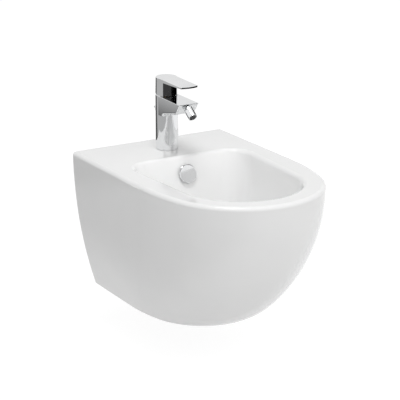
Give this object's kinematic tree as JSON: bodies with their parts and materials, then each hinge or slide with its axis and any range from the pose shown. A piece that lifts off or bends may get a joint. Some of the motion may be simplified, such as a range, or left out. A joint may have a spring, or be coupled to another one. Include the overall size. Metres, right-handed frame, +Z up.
{
  "type": "wall-hung bidet",
  "caption": "Wall-hung ceramic bidet with a tapering round-nosed body, a deck-mounted single-lever mixer with a swivelling nozzle, an overflow cover and a pop-up waste.",
  "frame": {"origin": "on the wall plane, midway between the two wall fixings", "axes": "+Y into the wall, so the bowl stands out towards -Y; +Z up; +X to the right as seen facing the wall"},
  "size_m": [0.3712, 0.5394, 0.4631],
  "materials": {
    "glaze": "glossy white glaze",
    "chrome": "polished",
    "steel": "zinc plated",
    "brass": "machined",
    "rubber": "matt black",
    "disc": "lapped",
    "cartridge_plastic": "moulded",
    "white_plastic": "moulded",
    "dark_plastic": "moulded",
    "grey_plastic": "moulded",
    "pipe_plastic": "moulded"
  },
  "bodies": {
    "base": {"ceramic_rim": "glaze", "ceramic_bowl": "glaze", "ceramic_shell": "glaze", "wall_sleeves": "white_plastic", "wall_washers": "steel", "wall_nuts": "steel", "overflow_cover": "chrome", "mixer_body": "chrome", "base_gasket": "rubber", "clamp_gasket": "rubber", "clamp_plate": "steel", "fixing_nut": "steel", "fixing_stud": "steel", "cartridge_seal": "rubber", "cartridge_base": "cartridge_plastic", "fixed_disc": "disc", "cartridge_housing": "cartridge_plastic", "cartridge_nut": "brass", "rod_guide": "white_plastic", "upper_seal": "rubber", "waste_flange": "chrome", "lower_seal": "rubber", "waste_backnut": "pipe_plastic", "waste_body": "pipe_plastic", "ball_seat": "white_plastic", "ball_cap_nut": "pipe_plastic"},
    "lever_swivel": {"cartridge_carrier": "cartridge_plastic", "stem_pin": "steel"},
    "lever": {"lever_handle": "chrome", "lever_stem": "brass", "lever_grub_screw": "steel", "lever_cap": "grey_plastic"},
    "slide_disc": {"moving_disc": "disc"},
    "nozzle_swivel": {"nozzle_ball": "brass"},
    "nozzle": {"nozzle_body": "chrome", "nozzle_gland": "chrome", "nozzle_seat": "white_plastic", "aerator_insert": "dark_plastic"},
    "lift_rod": {"lift_rod": "chrome", "lift_knob": "chrome", "lift_strap": "steel", "strap_screw": "steel"},
    "ball_lever": {"ball_lever": "steel"},
    "plug": {"waste_plug": "chrome", "plug_seal": "rubber"}
  },
  "joints": [
    {"name": "lever_turn", "type": "hinge", "parent": "base", "child": "lever_swivel", "pos_m": [0, -0.078, 0.1775], "axis": [0, 0, 1], "range_deg": [-45, 45]},
    {"name": "lever_lift", "type": "hinge", "parent": "lever_swivel", "child": "lever", "pos_m": [0, -0.078, 0.1775], "axis": [-1, 0, 0], "range_deg": [0, 18]},
    {"name": "disc_slide", "type": "slide", "parent": "lever_swivel", "child": "slide_disc", "axis": [0, -1, 0], "range_m": [0, 0.00284]},
    {"name": "nozzle_turn", "type": "hinge", "parent": "base", "child": "nozzle_swivel", "pos_m": [0, -0.17099, 0.18329], "axis": [0, -0.809, -0.5878], "continuous": true},
    {"name": "nozzle_tilt", "type": "hinge", "parent": "nozzle_swivel", "child": "nozzle", "pos_m": [0, -0.17099, 0.18329], "axis": [1, 0, 0], "range_deg": [-10, 10]},
    {"name": "lift_rod_pull", "type": "slide", "parent": "base", "child": "lift_rod", "axis": [0, 0.3746, 0.9272], "range_m": [0, 0.032]},
    {"name": "ball_lever_tilt", "type": "hinge", "parent": "base", "child": "ball_lever", "pos_m": [0, -0.233, -0.152], "axis": [1, 0, 0], "range_deg": [0, 22.69]},
    {"name": "plug_drop", "type": "slide", "parent": "base", "child": "plug", "axis": [0, 0, -1], "range_m": [0, 0.01163]}
  ],
  "couplings": [
    {"joint": "disc_slide", "follows": "lever_lift", "m_per_rad": 0.0090494},
    {"joint": "ball_lever_tilt", "follows": "lift_rod_pull", "rad_per_m": 12.373},
    {"joint": "plug_drop", "follows": "lift_rod_pull", "ratio": 0.36358}
  ]
}
